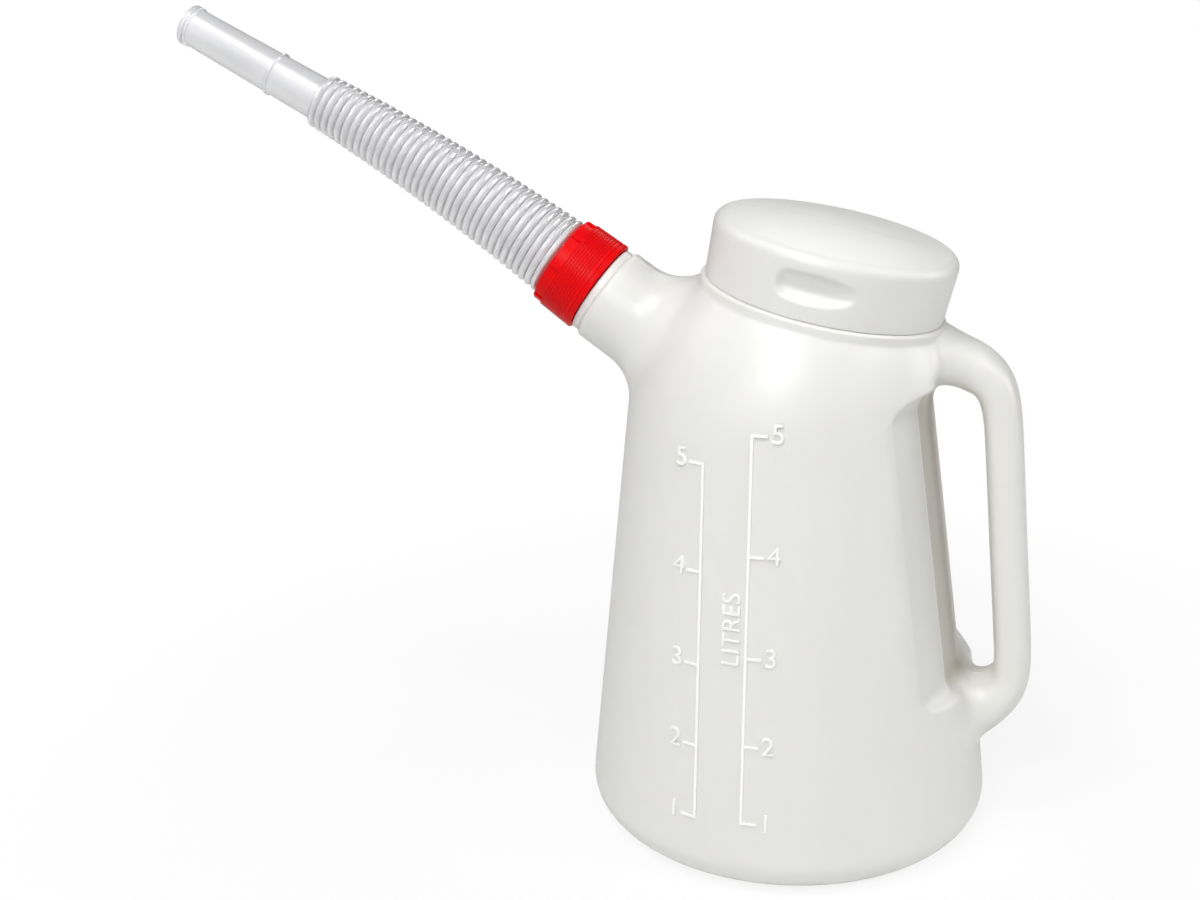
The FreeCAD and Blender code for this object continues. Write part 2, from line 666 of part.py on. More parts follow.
def collar_nut():
    """Threaded collar: tapered outside, stepped outer band with grip notches, lip over the flange."""
    k = "tan(sizes.collar_taper)"
    bore = "(sizes.neck_radius + sizes.collar_clearance)"
    hole = "(sizes.cuff_radius + sizes.flange_gap)"
    end = "sizes.collar_length"
    step = "(sizes.collar_length - sizes.collar_band)"
    lip = "(sizes.collar_length - sizes.collar_lip)"
    corners = [
        (bore, "0"),
        ("sizes.collar_radius - 0.8", "0"),
        ("sizes.collar_radius", "0.8"),
        ("sizes.collar_radius", "2.2"),
        ("sizes.collar_radius - 0.5", "2.4"),
        ("sizes.collar_radius - 0.5", "3"),
        ("sizes.collar_radius - 3 * %s" % k, "3.2"),
        ("sizes.collar_radius - %s * %s" % (step, k), step),
        ("sizes.collar_radius - %s * %s - sizes.collar_step" % (step, k), step),
        ("sizes.collar_radius - %s * %s - sizes.collar_step" % (end, k), end + " - 0.8"),
        ("sizes.collar_radius - %s * %s - sizes.collar_step - 0.8" % (end, k), end),
        (hole, end),
        (hole, lip),
        (bore, lip),
    ]
    body = revolved("collar_nut", corners, {1: ("0.8", 1), 9: ("0.8", 1)}, SPOUT)
    turned = body.Tip
    notch = body.newObject("Sketcher::SketchObject", "notch_outline")
    notch.AttachmentSupport = [(origin_plane(body, "XY_Plane"), "")]
    notch.MapMode = "FlatFace"
    notch.setExpression(".AttachmentOffset.Base.z", "sizes.collar_length")
    outer = value("sizes.collar_radius")
    floor = "sizes.collar_radius - sizes.collar_length * %s - sizes.collar_step - sizes.notch_depth" % k
    half = size.notch_width / 2
    corners = [Vector(value(floor), -half, 0), Vector(outer + 2, -half, 0),
               Vector(outer + 2, half, 0), Vector(value(floor), half, 0)]
    for index in range(4):
        notch.addGeometry(Part.LineSegment(corners[index], corners[(index + 1) % 4]), False)
    for index in range(4):
        notch.addConstraint(Sketcher.Constraint("Coincident", index, 2, (index + 1) % 4, 1))
    held = [("DistanceX", 0, 1, floor), ("DistanceY", 0, 1, "-sizes.notch_width / 2"),
            ("DistanceX", 1, 2, "sizes.collar_radius + 2"), ("DistanceY", 1, 2, "sizes.notch_width / 2")]
    for kind, index, end_point, text in held:
        number = notch.addConstraint(Sketcher.Constraint(kind, index, end_point, value(text)))
        notch.setExpression("Constraints[%d]" % number, text)
    for kind, index in (("Horizontal", 0), ("Vertical", 1), ("Horizontal", 2), ("Vertical", 3)):
        notch.addConstraint(Sketcher.Constraint(kind, index))
    doc.recompute()
    before = body.Shape.Volume
    pocket = body.newObject("PartDesign::Pocket", "notch")
    pocket.Profile = notch
    pocket.Length = size.notch_length
    pocket.setExpression("Length", "sizes.notch_length")
    pattern = body.newObject("PartDesign::PolarPattern", "notches")
    pattern.Originals = [pocket]
    pattern.Axis = (origin_axis(body, "Z_Axis"), [""])
    pattern.Angle = 360
    pattern.Occurrences = int(size.notch_count)
    pattern.setExpression("Occurrences", "sizes.notch_count")
    body.Tip = pattern
    doc.recompute()
    if not body.Shape.Volume < before - 1:
        raise ValueError("the grip notches cut nothing")
    return body


def origin_axis(body, role):
    return origin_plane(body, role)


collar = collar_nut()


# ---------------------------------------------------------------- flexible spout

def spout_path(along):
    """Point and heading (degrees above the horizontal, towards -X) at a distance from the collar's outer end."""
    start = SPOUT.multVec(Vector(0, 0, size.collar_length))
    rise = size.spout_rise * DEG
    bend = size.hose_droop * DEG / size.hose_length
    bent = min(max(along, 0.0), size.hose_length)
    angle = rise - bend * bent
    x = (math.sin(angle) - math.sin(rise)) / bend
    z = (math.cos(angle) - math.cos(rise)) / bend
    straight = along - bent
    point = start + Vector(x - straight * math.cos(angle), 0, z + straight * math.sin(angle))
    return point, angle / DEG


def ring_at(along, radius):
    point, rise = spout_path(along)
    ring = Part.Wire(Part.Circle(Vector(0, 0, 0), Vector(0, 0, 1), radius).toShape())
    ring.Placement = tilted(point.x, point.z, rise - 90)
    return ring


def hose_radius(along):
    """Crest radius: a straight taper from the collar to the nozzle."""
    share = along / size.hose_length
    return size.hose_radius_inner_end + (size.hose_radius_outer_end - size.hose_radius_inner_end) * share


def nozzle_radius(along):
    share = (along - size.hose_length) / size.nozzle_length
    return size.nozzle_radius_inner_end + (size.nozzle_radius_outer_end - size.nozzle_radius_inner_end) * share


def spout_profile():
    """Stations (distance, radius) along the spout's outside, from the flange to the tip."""
    flange_foot = size.neck_length + size.flange_gap - size.collar_length
    flange_top = flange_foot + size.flange_thickness
    flange = size.neck_radius
    stations = [(flange_foot, flange), (flange_top - 0.4, flange), (flange_top, size.cuff_radius),
                (0.4, size.cuff_radius)]
    pitch = (size.hose_length - 0.8) / size.ring_count
    for number in range(int(size.ring_count)):
        foot = 0.8 + number * pitch
        crest = foot + 0.5 * pitch
        stations += [(foot, hose_radius(foot) - size.ring_depth), (crest, hose_radius(crest))]
    end = size.hose_length
    stations += [(end, hose_radius(end) - size.ring_depth), (end + 0.8, nozzle_radius(end))]
    bead = end + size.bead_place
    stations += [(bead, nozzle_radius(bead)), (bead + 0.5, nozzle_radius(bead) + size.bead_height),
                 (bead + size.bead_width - 0.5, nozzle_radius(bead) + size.bead_height),
                 (bead + size.bead_width, nozzle_radius(bead + size.bead_width))]
    tip = end + size.nozzle_length
    tip_bead = tip - size.tip_bead_length
    stations += [(tip_bead, nozzle_radius(tip_bead)), (tip_bead + 0.6, nozzle_radius(tip) + size.bead_height),
                 (tip - 0.8, nozzle_radius(tip) + size.bead_height), (tip, nozzle_radius(tip) + 0.2)]
    return stations


def spout_bore():
    """Stations along the spout's inside: the outside less the wall, with wide corrugations."""
    foot = size.neck_length + size.flange_gap - size.collar_length
    wall = size.hose_wall
    stations = [(foot - 1, size.cuff_radius - wall), (1.0, size.cuff_radius - wall)]
    pitch = (size.hose_length - 0.8) / size.ring_count
    for number in range(int(size.ring_count)):
        place = 0.8 + number * pitch
        stations.append((place + 0.5 * pitch, hose_radius(place + 0.5 * pitch) - wall))
        stations.append((place + pitch, hose_radius(place + pitch) - size.ring_depth - wall))
    end = size.hose_length + 1.5
    tip = size.hose_length + size.nozzle_length
    stations += [(end, nozzle_radius(end) - wall), (tip + 1, nozzle_radius(tip) - wall)]
    return stations


def flexible_spout():
    outside = Part.makeLoft([ring_at(*station) for station in spout_profile()], True, True)
    bore = Part.makeLoft([ring_at(*station) for station in spout_bore()], True, True)
    return feature("flexible_spout", outside.cut(bore))


spout = flexible_spout()


# ---------------------------------------------------------------- check and write

doc.recompute()
for item in doc.Objects:
    if "Invalid" in item.State or "Error" in item.State:
        raise ValueError("%s is %s" % (item.Name, item.State))

os.makedirs("parts", exist_ok=True)
for part in (jug_body, lid, collar, spout):
    shape = part.Shape
    if shape.isNull() or not shape.isValid():
        raise ValueError("%s has no valid shape" % part.Label)
    shape.exportStep("parts/%s.step" % part.Label)
    print("%s: %d solid(s), %.0f mm3" % (part.Label, len(shape.Solids), shape.Volume))
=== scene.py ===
import json
import math

import bmesh
import bpy
import numpy as np
from bpy.props import FloatProperty, FloatVectorProperty, PointerProperty
from mathutils import Matrix, Vector


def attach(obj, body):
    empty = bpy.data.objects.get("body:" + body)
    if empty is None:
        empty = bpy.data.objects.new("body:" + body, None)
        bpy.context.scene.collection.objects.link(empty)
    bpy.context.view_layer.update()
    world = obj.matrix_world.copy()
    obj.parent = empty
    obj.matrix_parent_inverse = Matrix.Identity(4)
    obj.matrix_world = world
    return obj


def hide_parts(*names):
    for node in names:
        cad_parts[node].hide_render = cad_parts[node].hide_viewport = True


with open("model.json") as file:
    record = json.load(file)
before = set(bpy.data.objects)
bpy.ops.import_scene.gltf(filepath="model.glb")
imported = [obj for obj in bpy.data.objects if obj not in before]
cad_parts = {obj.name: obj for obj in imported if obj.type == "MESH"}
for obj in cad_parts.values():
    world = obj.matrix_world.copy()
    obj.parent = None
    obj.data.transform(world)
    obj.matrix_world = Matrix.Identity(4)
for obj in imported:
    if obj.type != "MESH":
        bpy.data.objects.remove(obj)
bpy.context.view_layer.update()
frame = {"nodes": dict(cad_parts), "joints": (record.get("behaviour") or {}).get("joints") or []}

bl_info = {
    "name": "Oil Measuring Jug",
    "version": (1, 0, 0),
    "blender": (4, 5, 0),
    "location": "View3D > Sidebar > Oil Jug",
    "description": "Dresses the oil measuring jug: plastics, raised figures, corrugated spout and studio",
    "category": "Object",
}

MM = 0.001

# ---------------------------------------------------------------- the studio, in metres and degrees

# Name, azimuth from -Y towards +X and rise in degrees, share of the key light's power.
STUDIO_LIGHTS = (
    ("key_light", -5, 38, 1.0),
    ("upper_left_light", -30, 64, 0.69),
    ("upper_right_light", 40, 64, 0.21),
    ("right_light", 80, 38, 0.39),
    ("low_right_light", 115, 12, 0.45),
    ("left_light", -90, 38, 0.22),
    ("back_light", 180, 38, 0.18),
)
LIGHTS_AIM = (0.0, 0.0, 0.17)
LIGHT_DISTANCE = 1.9
LIGHT_SIZE = 0.6
AMBIENT_STRENGTH = 0.02
WHITE = (1, 1, 1, 1)

FLOOR_GREY = (0.86, 0.86, 0.86, 1)
FLOOR_HEIGHT = -0.0002
FLOOR_WHITENING = 0.85
FLOOR_FADE = (0.16, 0.5)

CAMERA_AZIMUTH = 18.014
CAMERA_RISE = 18.327
CAMERA_ROLL = -1.457
CAMERA_DISTANCE = 0.79588
CAMERA_AIM = (-0.096474, 0, 0.177103)
CAMERA_LENS = 47.6892
SENSOR_WIDTH = 36.0

# ---------------------------------------------------------------- the jug's own sizes, in millimetres

SIDE_RADIUS_AT_FLOOR = 100.0
SIDE_TAPER = math.tan(math.radians(6.1))
LITRE_MARKS = (36.1, 73.2, 114.7, 161.7, 215.8)
QUART_MARKS = (34.1, 69.0, 107.7, 151.0, 200.3)
FIGURE_HEIGHT = 9.0
FIGURE_DEPTH = 0.9
FIGURE_PROUD = 0.55
FIGURE_EDGE = 0.12
FIGURE_THINNING = -0.1
CAPITAL_SHARE = 0.72
WORD_HEIGHT = 8.6
WORD_PLACE = (-9.3, 127.4)

# Name, x of the figures, heights of the marks, and how far the figures sit above their marks.
FIGURE_COLUMNS = (("litre", 9.1, LITRE_MARKS, 1.0), ("quart", -35.4, QUART_MARKS, 1.5))

JOINTS = {joint["name"]: joint for joint in frame["joints"]}
SPOUT_AXIS = np.array(JOINTS["collar_turn"]["axis"], float)
SPOUT_START = np.array(JOINTS["collar_turn"]["pos_m"], float) / MM
MOUTH_AXIS = np.array(JOINTS["lid_lift"]["axis"], float)

COLLAR_LENGTH = 23.0
HOSE_LENGTH = 143.5
HOSE_DROOP = math.radians(7.3)
RING_COUNT = 36
RING_DEPTH = 2.6
CREST_AT_COLLAR = 20.3
CREST_AT_NOZZLE = 13.6
SPOUT_WALL = 1.2
CUFF_RADIUS = 17.4
FLANGE_RADIUS = 19.4
FLANGE_FOOT = -6.7
FLANGE_THICKNESS = 2.0
NOZZLE_LENGTH = 79.0
NOZZLE_AT_HOSE = 10.8
NOZZLE_AT_TIP = 9.5
BEAD_PLACE = 25.5
BEAD_WIDTH = 2.0
BEAD_HEIGHT = 0.9
TIP_LENGTH = 4.5
CUFF_END = 0.4
FIRST_RING = 0.8
TUBE_SIDES = 96

# ---------------------------------------------------------------- places in meshes and finishes, in metres

# Points are merged on this grid.
MERGE_GRID = 1e-6

# x and z of a point in the plane of the lid's lower edge, and the height where the skin bends into the mouth.
LID_EDGE = (0.0145, 0.2623)
RIM_FOOT = 0.250

# Where the handle's arms leave the body: height ranges, nearest x, half width in y, flattest fold counted.
ARM_JOIN_HEIGHTS = ((0.054, 0.100), (0.205, 0.236))
ARM_JOIN_START = 0.040
ARM_JOIN_HALF = 0.024
ARM_JOIN_FOLD = math.radians(20)

# How far the rounding reaches, the longest edge in it, and how often edges are split and points evened out.
ARM_JOIN_REACH = 0.012
ARM_JOIN_STEP = 0.003
ARM_JOIN_SPLITS = 5
ARM_JOIN_ROUNDS = 60

# The scale's field on the side: how far to the front it starts, then its middle and the half widths over
# which it fades, across and up; and how far its marks stand out.
FIELD_FRONT = (0.050, 0.055)
FIELD_ACROSS = (-0.0135, 0.030, 0.034)
FIELD_UP = (0.125, 0.103, 0.106)
MARK_PROUD = (0.0003, 0.0005)

# The finger recess, with painted shade in it and a painted highlight line: where it starts in x, its middle
# height and half height, half width of its floor and of the floor's edge, and the depths over which its
# painted shade, the floor's darker painted shade and the edge's painted highlight line come in.
RECESS_START = (0.045, 0.050)
RECESS_UP = (0.150, 0.070, 0.076)
RECESS_DEPTH = (0.0002, 0.0012)
RECESS_FLOOR = (0.027, 0.030)
RECESS_FLOOR_DEPTH = (0.003, 0.008)
RECESS_EDGE = 0.0285
RECESS_EDGE_DEPTH = (0.003, 0.006)
# Painted shade: colour factors that make the recess's floor darker and browner.
RECESS_FLOOR_PAINTED_SHADE = (0.80, 0.76, 0.69)
LINE_WIDTH = (0.0002, 0.0009)

# The collar's grooves: pitch, and the middle and half length of the grooved band along the spout's axis.
GROOVE_PITCH = 0.00145
GROOVES_MIDDLE = 0.0105
GROOVES_HALF = (0.0062, 0.0066)


# ---------------------------------------------------------------- shader expressions

class Term:
    """A node's output socket in a shader expression. Arithmetic on it adds Math nodes."""

    def __init__(self, nodes, socket):
        self.nodes = nodes
        self.socket = socket

    def math(self, operation, *others):
        return self.nodes.math(operation, self, *others)

    def __add__(self, other):
        return self.math("ADD", other)

    def __radd__(self, other):
        return self.nodes.math("ADD", other, self)

    def __sub__(self, other):
        return self.math("SUBTRACT", other)

    def __rsub__(self, other):
        return self.nodes.math("SUBTRACT", other, self)

    def __mul__(self, other):
        return self.math("MULTIPLY", other)

    def __rmul__(self, other):
        return self.nodes.math("MULTIPLY", other, self)

    def __truediv__(self, other):
        return self.math("DIVIDE", other)

    def __rtruediv__(self, other):
        return self.nodes.math("DIVIDE", other, self)

    def __pow__(self, other):
        return self.math("POWER", other)

    def __abs__(self):
        return self.math("ABSOLUTE")

    def fades(self, start, end):
        """1 below start, 0 above end, smooth between."""
        return self.turns(start, end, 1.0, 0.0)

    def turns(self, start, end, low, high):
        """The value low below start, high above end, smooth between."""
        limits = {"From Min": start, "From Max": end, "To Min": low, "To Max": high}
        return self.nodes.node("ShaderNodeMapRange", {"interpolation_type": "SMOOTHSTEP"}, Value=self,
                               **limits)["Result"]


class Outputs:
    """A node with its output sockets, read by name as terms."""

    def __init__(self, nodes, made):
        self.nodes = nodes
        self.made = made

    def __getitem__(self, name):
        return Term(self.nodes, self.made.outputs[name])


class Nodes:
    """An emptied node tree under construction."""

    def __init__(self, tree):
        self.tree = tree
        self.tree.nodes.clear()

    def node(self, kind, settings=None, **sockets):
        """Adds a node: its settings first, then the values or links of its sockets, by name or number."""
        made = self.tree.nodes.new(kind)
        for key, value in (settings or {}).items():
            setattr(made, key, value)
        for key, value in sockets.items():
            socket = made.inputs[int(key) if key.isdigit() else key.replace("_", " ")]
            if isinstance(value, Term):
                self.tree.links.new(value.socket, socket)
            else:
                socket.default_value = value
        return Outputs(self, made)

    def math(self, operation, *terms):
        """Adds a Math node on terms or numbers."""
        numbered = {str(number): term for number, term in enumerate(terms)}
        return self.node("ShaderNodeMath", {"operation": operation}, **numbered)["Value"]


class Finish(Nodes):
    """A material under construction, with one Principled shader on Object coordinates."""

    def __init__(self, name, **sockets):
        self.material = bpy.data.materials.new(name)
        self.material.use_nodes = True
        super().__init__(self.material.node_tree)
        self.shader = self.node("ShaderNodeBsdfPrincipled", **sockets)
        self.output = self.node("ShaderNodeOutputMaterial", Surface=self.shader["BSDF"])
        self.place = self.node("ShaderNodeTexCoord")["Object"]
        split = self.node("ShaderNodeSeparateXYZ", Vector=self.place)
        self.x, self.y, self.z = split["X"], split["Y"], split["Z"]

    def noise(self, scale, detail=2.0, roughness=0.5, at=None):
        """Noise from 0 to 1, with about scale blotches to the metre."""
        return self.node("ShaderNodeTexNoise", Vector=at or self.place, Scale=scale, Detail=detail,
                         Roughness=roughness)["Fac"]

    def blend(self, factor, low, high):
        """Colour between low and high by a 0 to 1 factor."""
        made = self.node("ShaderNodeMix", {"data_type": "RGBA"}, **{"0": factor, "6": low, "7": high})
        return Term(self, made.made.outputs[2])

    def feed(self, socket, term):
        """Links a term to one of the Principled shader's sockets."""
        self.tree.links.new(term.socket, self.shader.made.inputs[socket])

    def mix(self, factor, low, high):
        """Direction between low and high by a 0 to 1 factor."""
        made = self.node("ShaderNodeMix", {"data_type": "VECTOR"}, **{"0": factor, "4": low, "5": high})
        return Term(self, made.made.outputs[1])

    def bump(self, height, distance, strength=1.0, soft_edge=0.0, crisp=None):
        """Bumps the surface by height (0 to 1) times distance in metres.

        Edges are softened by a radius, except where the mask crisp is 1.
        """
        made = self.node("ShaderNodeBump", Height=height, Distance=distance, Strength=strength)
        if soft_edge:
            normal = self.node("ShaderNodeBevel", {"samples": 6}, Radius=soft_edge)["Normal"]
            if crisp:
                normal = self.mix(crisp, normal, self.node("ShaderNodeNewGeometry")["Normal"])
            self.tree.links.new(normal.socket, made.made.inputs["Normal"])
        self.feed("Normal", made["Normal"])


def shade(color, *factors):
    """The colour times one factor or three, at most 1, with an opaque fourth part."""
    each = factors * (3 // len(factors))
    return tuple(min(1.0, part * factor) for part, factor in zip(color, each)) + (1.0,)


# ---------------------------------------------------------------- plastics

def on_scale(finish):
    """How far a point stands out from the tapered side, and a mask of the scale's field on it."""
    radius = (finish.x * finish.x + finish.y * finish.y) ** 0.5
    proud = radius + finish.z * SIDE_TAPER - SIDE_RADIUS_AT_FLOOR * MM
    front = 1.0 - (finish.y * -1.0).fades(*FIELD_FRONT)
    across = abs(finish.x - FIELD_ACROSS[0]).fades(*FIELD_ACROSS[1:])
    up = abs(finish.z - FIELD_UP[0]).fades(*FIELD_UP[1:])
    return proud, front * across * up


def recess_tint(finish, tint, color, depth):
    """Paints shade into the finger recess and darker shade into its floor, and paints a highlight line along
    the floor's edge.
    """
    recess = (1.0 - finish.x.fades(*RECESS_START)) * abs(finish.z - RECESS_UP[0]).fades(*RECESS_UP[1:])
    side = abs(finish.y)
    # Painted shade: the whole recess drawn 0.94 times as bright.
    tint = finish.blend(recess * (1.0 - depth.fades(*RECESS_DEPTH)), tint, shade(color, 0.94))
    # Painted shade: the recess's floor drawn darker and browner still.
    painted_shade_floor = recess * (1.0 - depth.fades(*RECESS_FLOOR_DEPTH)) * side.fades(*RECESS_FLOOR)
    tint = finish.blend(painted_shade_floor, tint, shade(color, *RECESS_FLOOR_PAINTED_SHADE))
    # Painted highlight: a line 1.1 times lighter along the floor's edge.
    edge = recess * (1.0 - depth.fades(*RECESS_EDGE_DEPTH)) * abs(side - RECESS_EDGE).fades(*LINE_WIDTH)
    return finish.blend(edge, tint, shade(color, 1.1))


def milky_plastic(name, color, seam_height, mottle=0.035, soft_edge=0.0, scale_color=None):
    """Natural polyethylene: milky, satin, faintly cloudy, with a mould's parting line at Y = 0, raised by a
    bump and lightened by a painted highlight.
    """
    milk = {"Subsurface Weight": 0.2, "Subsurface Scale": 0.006, "Subsurface Radius": (1.0, 0.95, 0.85)}
    finish = Finish(name, Roughness=0.36, IOR=1.5, **milk)
    cloud = finish.noise(18.0, 3.0, 0.55)
    drawn_out = finish.node("ShaderNodeMapping", Vector=finish.place, Scale=(160.0, 160.0, 9.0))["Vector"]
    streak = finish.noise(1.0, 2.0, 0.5, at=drawn_out)
    seam_line_and_highlight = abs(finish.y).fades(*LINE_WIDTH)
    tint = finish.blend(cloud * 0.7 + streak * 0.3, shade(color, 1 - mottle), shade(color, 1 + mottle))
    # Painted highlight: the parting line drawn 1.22 times lighter; its ridge is a real bump further down.
    tint = finish.blend(seam_line_and_highlight * min(1.0, seam_height) * 0.6, tint, shade(color, 1.22))
    above = (finish.x - LID_EDGE[0]) * MOUTH_AXIS[0] + (finish.z - LID_EDGE[1]) * MOUTH_AXIS[2]
    crisp = abs(above).fades(0.0025, 0.0035)
    if scale_color:
        proud, field = on_scale(finish)
        crisp = crisp.math("MAXIMUM", field)
        tint = finish.blend((1.0 - proud.fades(*MARK_PROUD)) * field, tint, shade(scale_color, 1.0))
        # Painted shade and a painted highlight line in the finger recess.
        tint = recess_tint(finish, tint, color, proud * -1.0)
    finish.feed("Base Color", tint)
    finish.feed("Roughness", 0.30 + cloud * 0.12 + streak * 0.04)
    grain = finish.noise(900.0, 2.0, 0.6)
    dimple = finish.noise(60.0, 2.0, 0.5)
    finish.bump(seam_line_and_highlight * seam_height + grain * 0.035 + dimple * 0.25, 0.0004, 0.8, soft_edge, crisp)
    return finish.material


def collar_plastic(color):
    """Red moulded plastic with fine grooves turned round the spout's axis."""
    finish = Finish("collar_plastic", Roughness=0.34, IOR=1.5, **{"Specular IOR Level": 0.06})
    x, z = finish.x - SPOUT_START[0] * MM, finish.z - SPOUT_START[2] * MM
    along = x * SPOUT_AXIS[0] + z * SPOUT_AXIS[2]
    groove = abs((along / GROOVE_PITCH).math("FRACT") - 0.5).fades(0.0, 0.16)
    groove = groove * abs(along - GROOVES_MIDDLE).fades(*GROOVES_HALF)
    cloud = finish.noise(70.0, 3.0, 0.6)
    finish.feed("Base Color", finish.blend(cloud, shade(color, 0.93), shade(color, 1.05)))
    finish.feed("Roughness", 0.24 + cloud * 0.14 + groove * 0.1)
    grain = finish.noise(1200.0, 2.0, 0.6)
    finish.bump(grain * 0.06 - groove, 0.0003, 0.9)
    return finish.material


def spout_plastic(color):
    """Bluish, see-through soft plastic of the corrugated spout."""
    clear = {"Transmission Weight": 0.35}
    milk = {"Subsurface Weight": 0.25, "Subsurface Scale": 0.006, "Subsurface Radius": (0.8, 0.9, 1.0)}
    finish = Finish("spout_plastic", Roughness=0.22, IOR=1.45, **clear, **milk)
    cloud = finish.noise(40.0, 3.0, 0.55)
    finish.feed("Base Color", finish.blend(cloud, shade(color, 0.95), shade(color, 1.05)))
    finish.feed("Roughness", 0.16 + cloud * 0.16)
    grain = finish.noise(700.0, 2.0, 0.5)
    finish.bump(grain * 0.05, 0.0003, 0.6)
    return finish.material


# ---------------------------------------------------------------- mesh helpers

def mesh_object(name, points, faces, material, smooth=True):
    """A new object from arrays of points in metres and faces."""
    mesh = bpy.data.meshes.new(name)
    mesh.from_pydata(points.tolist(), [], faces.tolist())
    mesh.polygons.foreach_set("use_smooth", np.full(len(mesh.polygons), smooth))
    mesh.materials.append(material)
    mesh.update()
    made = bpy.data.objects.new(name, mesh)
    bpy.context.scene.collection.objects.link(made)
    return made


def paint(node, material):
    """Gives a CAD node a material."""
    mesh = frame["nodes"][node].data
    mesh.materials.clear()
    mesh.materials.append(material)


def smooth_copy(node, name, material, angle, relaxed=False):
    """A merged copy of a CAD node's mesh, smooth except at edges sharper than the angle in degrees."""
    source = frame["nodes"][node].data
    corners = np.empty(len(source.vertices) * 3)
    source.vertices.foreach_get("co", corners)
    corners = corners.reshape(-1, 3)
    picked = np.empty(len(source.loops), int)
    source.loops.foreach_get("vertex_index", picked)
    keys, index = np.unique(np.round(corners / MERGE_GRID).astype(np.int64), axis=0, return_inverse=True)
    faces = index.reshape(-1)[picked].reshape(-1, 3)
    whole = (faces[:, 0] != faces[:, 1]) & (faces[:, 1] != faces[:, 2]) & (faces[:, 0] != faces[:, 2])
    made = mesh_object(name, keys * MERGE_GRID, faces[whole], material)
    if relaxed:
        relax_joins(made)
    made.data.set_sharp_from_angle(angle=math.radians(angle))
    weighted = made.modifiers.new("even_shading", "WEIGHTED_NORMAL")
    weighted.keep_sharp = True
    weighted.weight = 60
    return made


# ---------------------------------------------------------------- rounded joins of the handle's arms

def form_arrays(form):
    """Points of a form, as rows of x, y and z, and its edges, as rows of two point numbers."""
    form.verts.index_update()
    points = np.array([point.co for point in form.verts])
    return points, np.array([[end.index for end in edge.verts] for edge in form.edges])


def outer_skin(points, edges):
    """Mask of the points joined to the outermost one without passing over the mouth's rim."""
    passable = (points[:, 0] > ARM_JOIN_START / 2) & (points[:, 2] < RIM_FOOT)
    edges = edges[passable[edges].all(axis=1)]
    reached = np.zeros(len(points), bool)
    reached[points[:, 0].argmax()] = True
    before = 0
    while reached.sum() > before:
        before = reached.sum()
        reached[edges[reached[edges].any(axis=1)]] = True
    return reached


def inward_creases(form, points, edges):
    """Mask of the points on inward folds of the outer skin where the handle's arms leave the body."""
    middle = points[edges].mean(axis=1)
    at_arm = np.zeros(len(edges), bool)
    for low, high in ARM_JOIN_HEIGHTS:
        at_arm |= (middle[:, 2] > low) & (middle[:, 2] < high)
    at_arm &= (middle[:, 0] > ARM_JOIN_START) & (abs(middle[:, 1]) < ARM_JOIN_HALF)
    folded = [edge.is_manifold and edge.calc_face_angle_signed() < -ARM_JOIN_FOLD for edge in form.edges]
    creased = np.zeros(len(points), bool)
    creased[edges[at_arm & folded & outer_skin(points, edges)[edges[:, 0]]]] = True
    return creased


def within(points, others, reach):
    """Mask of the points that lie within reach of any of the others."""
    gap = np.full(len(points), np.inf)
    for other in others:
        gap = np.minimum(gap, np.linalg.norm(points - other, axis=1))
    return gap < reach


def split_near_creases(form):
    """Halves the long edges that come within reach of a crease."""
    points, edges = form_arrays(form)
    creases = points[inward_creases(form, points, edges)]
    start, end = points[edges[:, 0]], points[edges[:, 1]]
    wanted = (np.linalg.norm(end - start, axis=1) > ARM_JOIN_STEP)
    wanted &= np.maximum(start[:, 0], end[:, 0]) > ARM_JOIN_START / 2
    numbers = np.flatnonzero(wanted)
    close = np.zeros(len(numbers), bool)
    for spots in (start, end, (start + end) / 2):
        close |= within(spots[numbers], creases, ARM_JOIN_REACH)
    form.edges.ensure_lookup_table()
    bmesh.ops.subdivide_edges(form, edges=[form.edges[number] for number in numbers[close]], cuts=1)
    bmesh.ops.triangulate(form, faces=[face for face in form.faces if len(face.verts) > 3])


def way_along(points, edges, sources):
    """Way along the edges to the nearest source: way = min(way, neighbour's way + edge), over and over."""
    length = np.linalg.norm(points[edges[:, 0]] - points[edges[:, 1]], axis=1)
    way = np.where(sources, 0.0, np.inf)
    before = None
    while before is None or not np.array_equal(way, before):
        before = way.copy()
        for here, there in (edges.T, edges.T[::-1]):
            longer = before[there] + length
            np.minimum.at(way, here, np.where(longer < ARM_JOIN_REACH, longer, np.inf))
    return way


def evened(points, edges, share):
    """Points moved by p' = p + share / 2 (mean of neighbours - p), in rounds."""
    edges = edges[(share[edges] > 0).any(axis=1)]
    count = np.maximum(1, np.bincount(edges.ravel(), minlength=len(points)))[:, None]
    for _ in range(ARM_JOIN_ROUNDS):
        total = np.zeros_like(points)
        for here, there in (edges.T, edges.T[::-1]):
            np.add.at(total, here, points[there])
        points = points + 0.5 * share[:, None] * (total / count - points)
    return points


def relax_joins(made):
    """Lets the handle's arms flow into the body: evens the points out with share = 1 - (way / reach) ^ 2."""
    form = bmesh.new()
    form.from_mesh(made.data)
    for _ in range(ARM_JOIN_SPLITS):
        split_near_creases(form)
    points, edges = form_arrays(form)
    way = way_along(points, edges, inward_creases(form, points, edges))
    share = 1 - (np.minimum(way, ARM_JOIN_REACH) / ARM_JOIN_REACH) ** 2
    form.to_mesh(made.data)
    form.free()
    made.data.vertices.foreach_set("co", evened(points, edges, share).ravel())
    made.data.update()


# ---------------------------------------------------------------- raised figures

def side_point(x, z, proud):
    """Points on the tapered side: y from the circle at that height, moved out along the side's normal."""
    radius = SIDE_RADIUS_AT_FLOOR - SIDE_TAPER * z
    angle = np.arcsin(x / radius)
    slope = math.atan(SIDE_TAPER)
    out = radius + proud * math.cos(slope)
    return np.stack([out * np.sin(angle), -out * np.cos(angle), z + proud * math.sin(slope)], axis=-1)


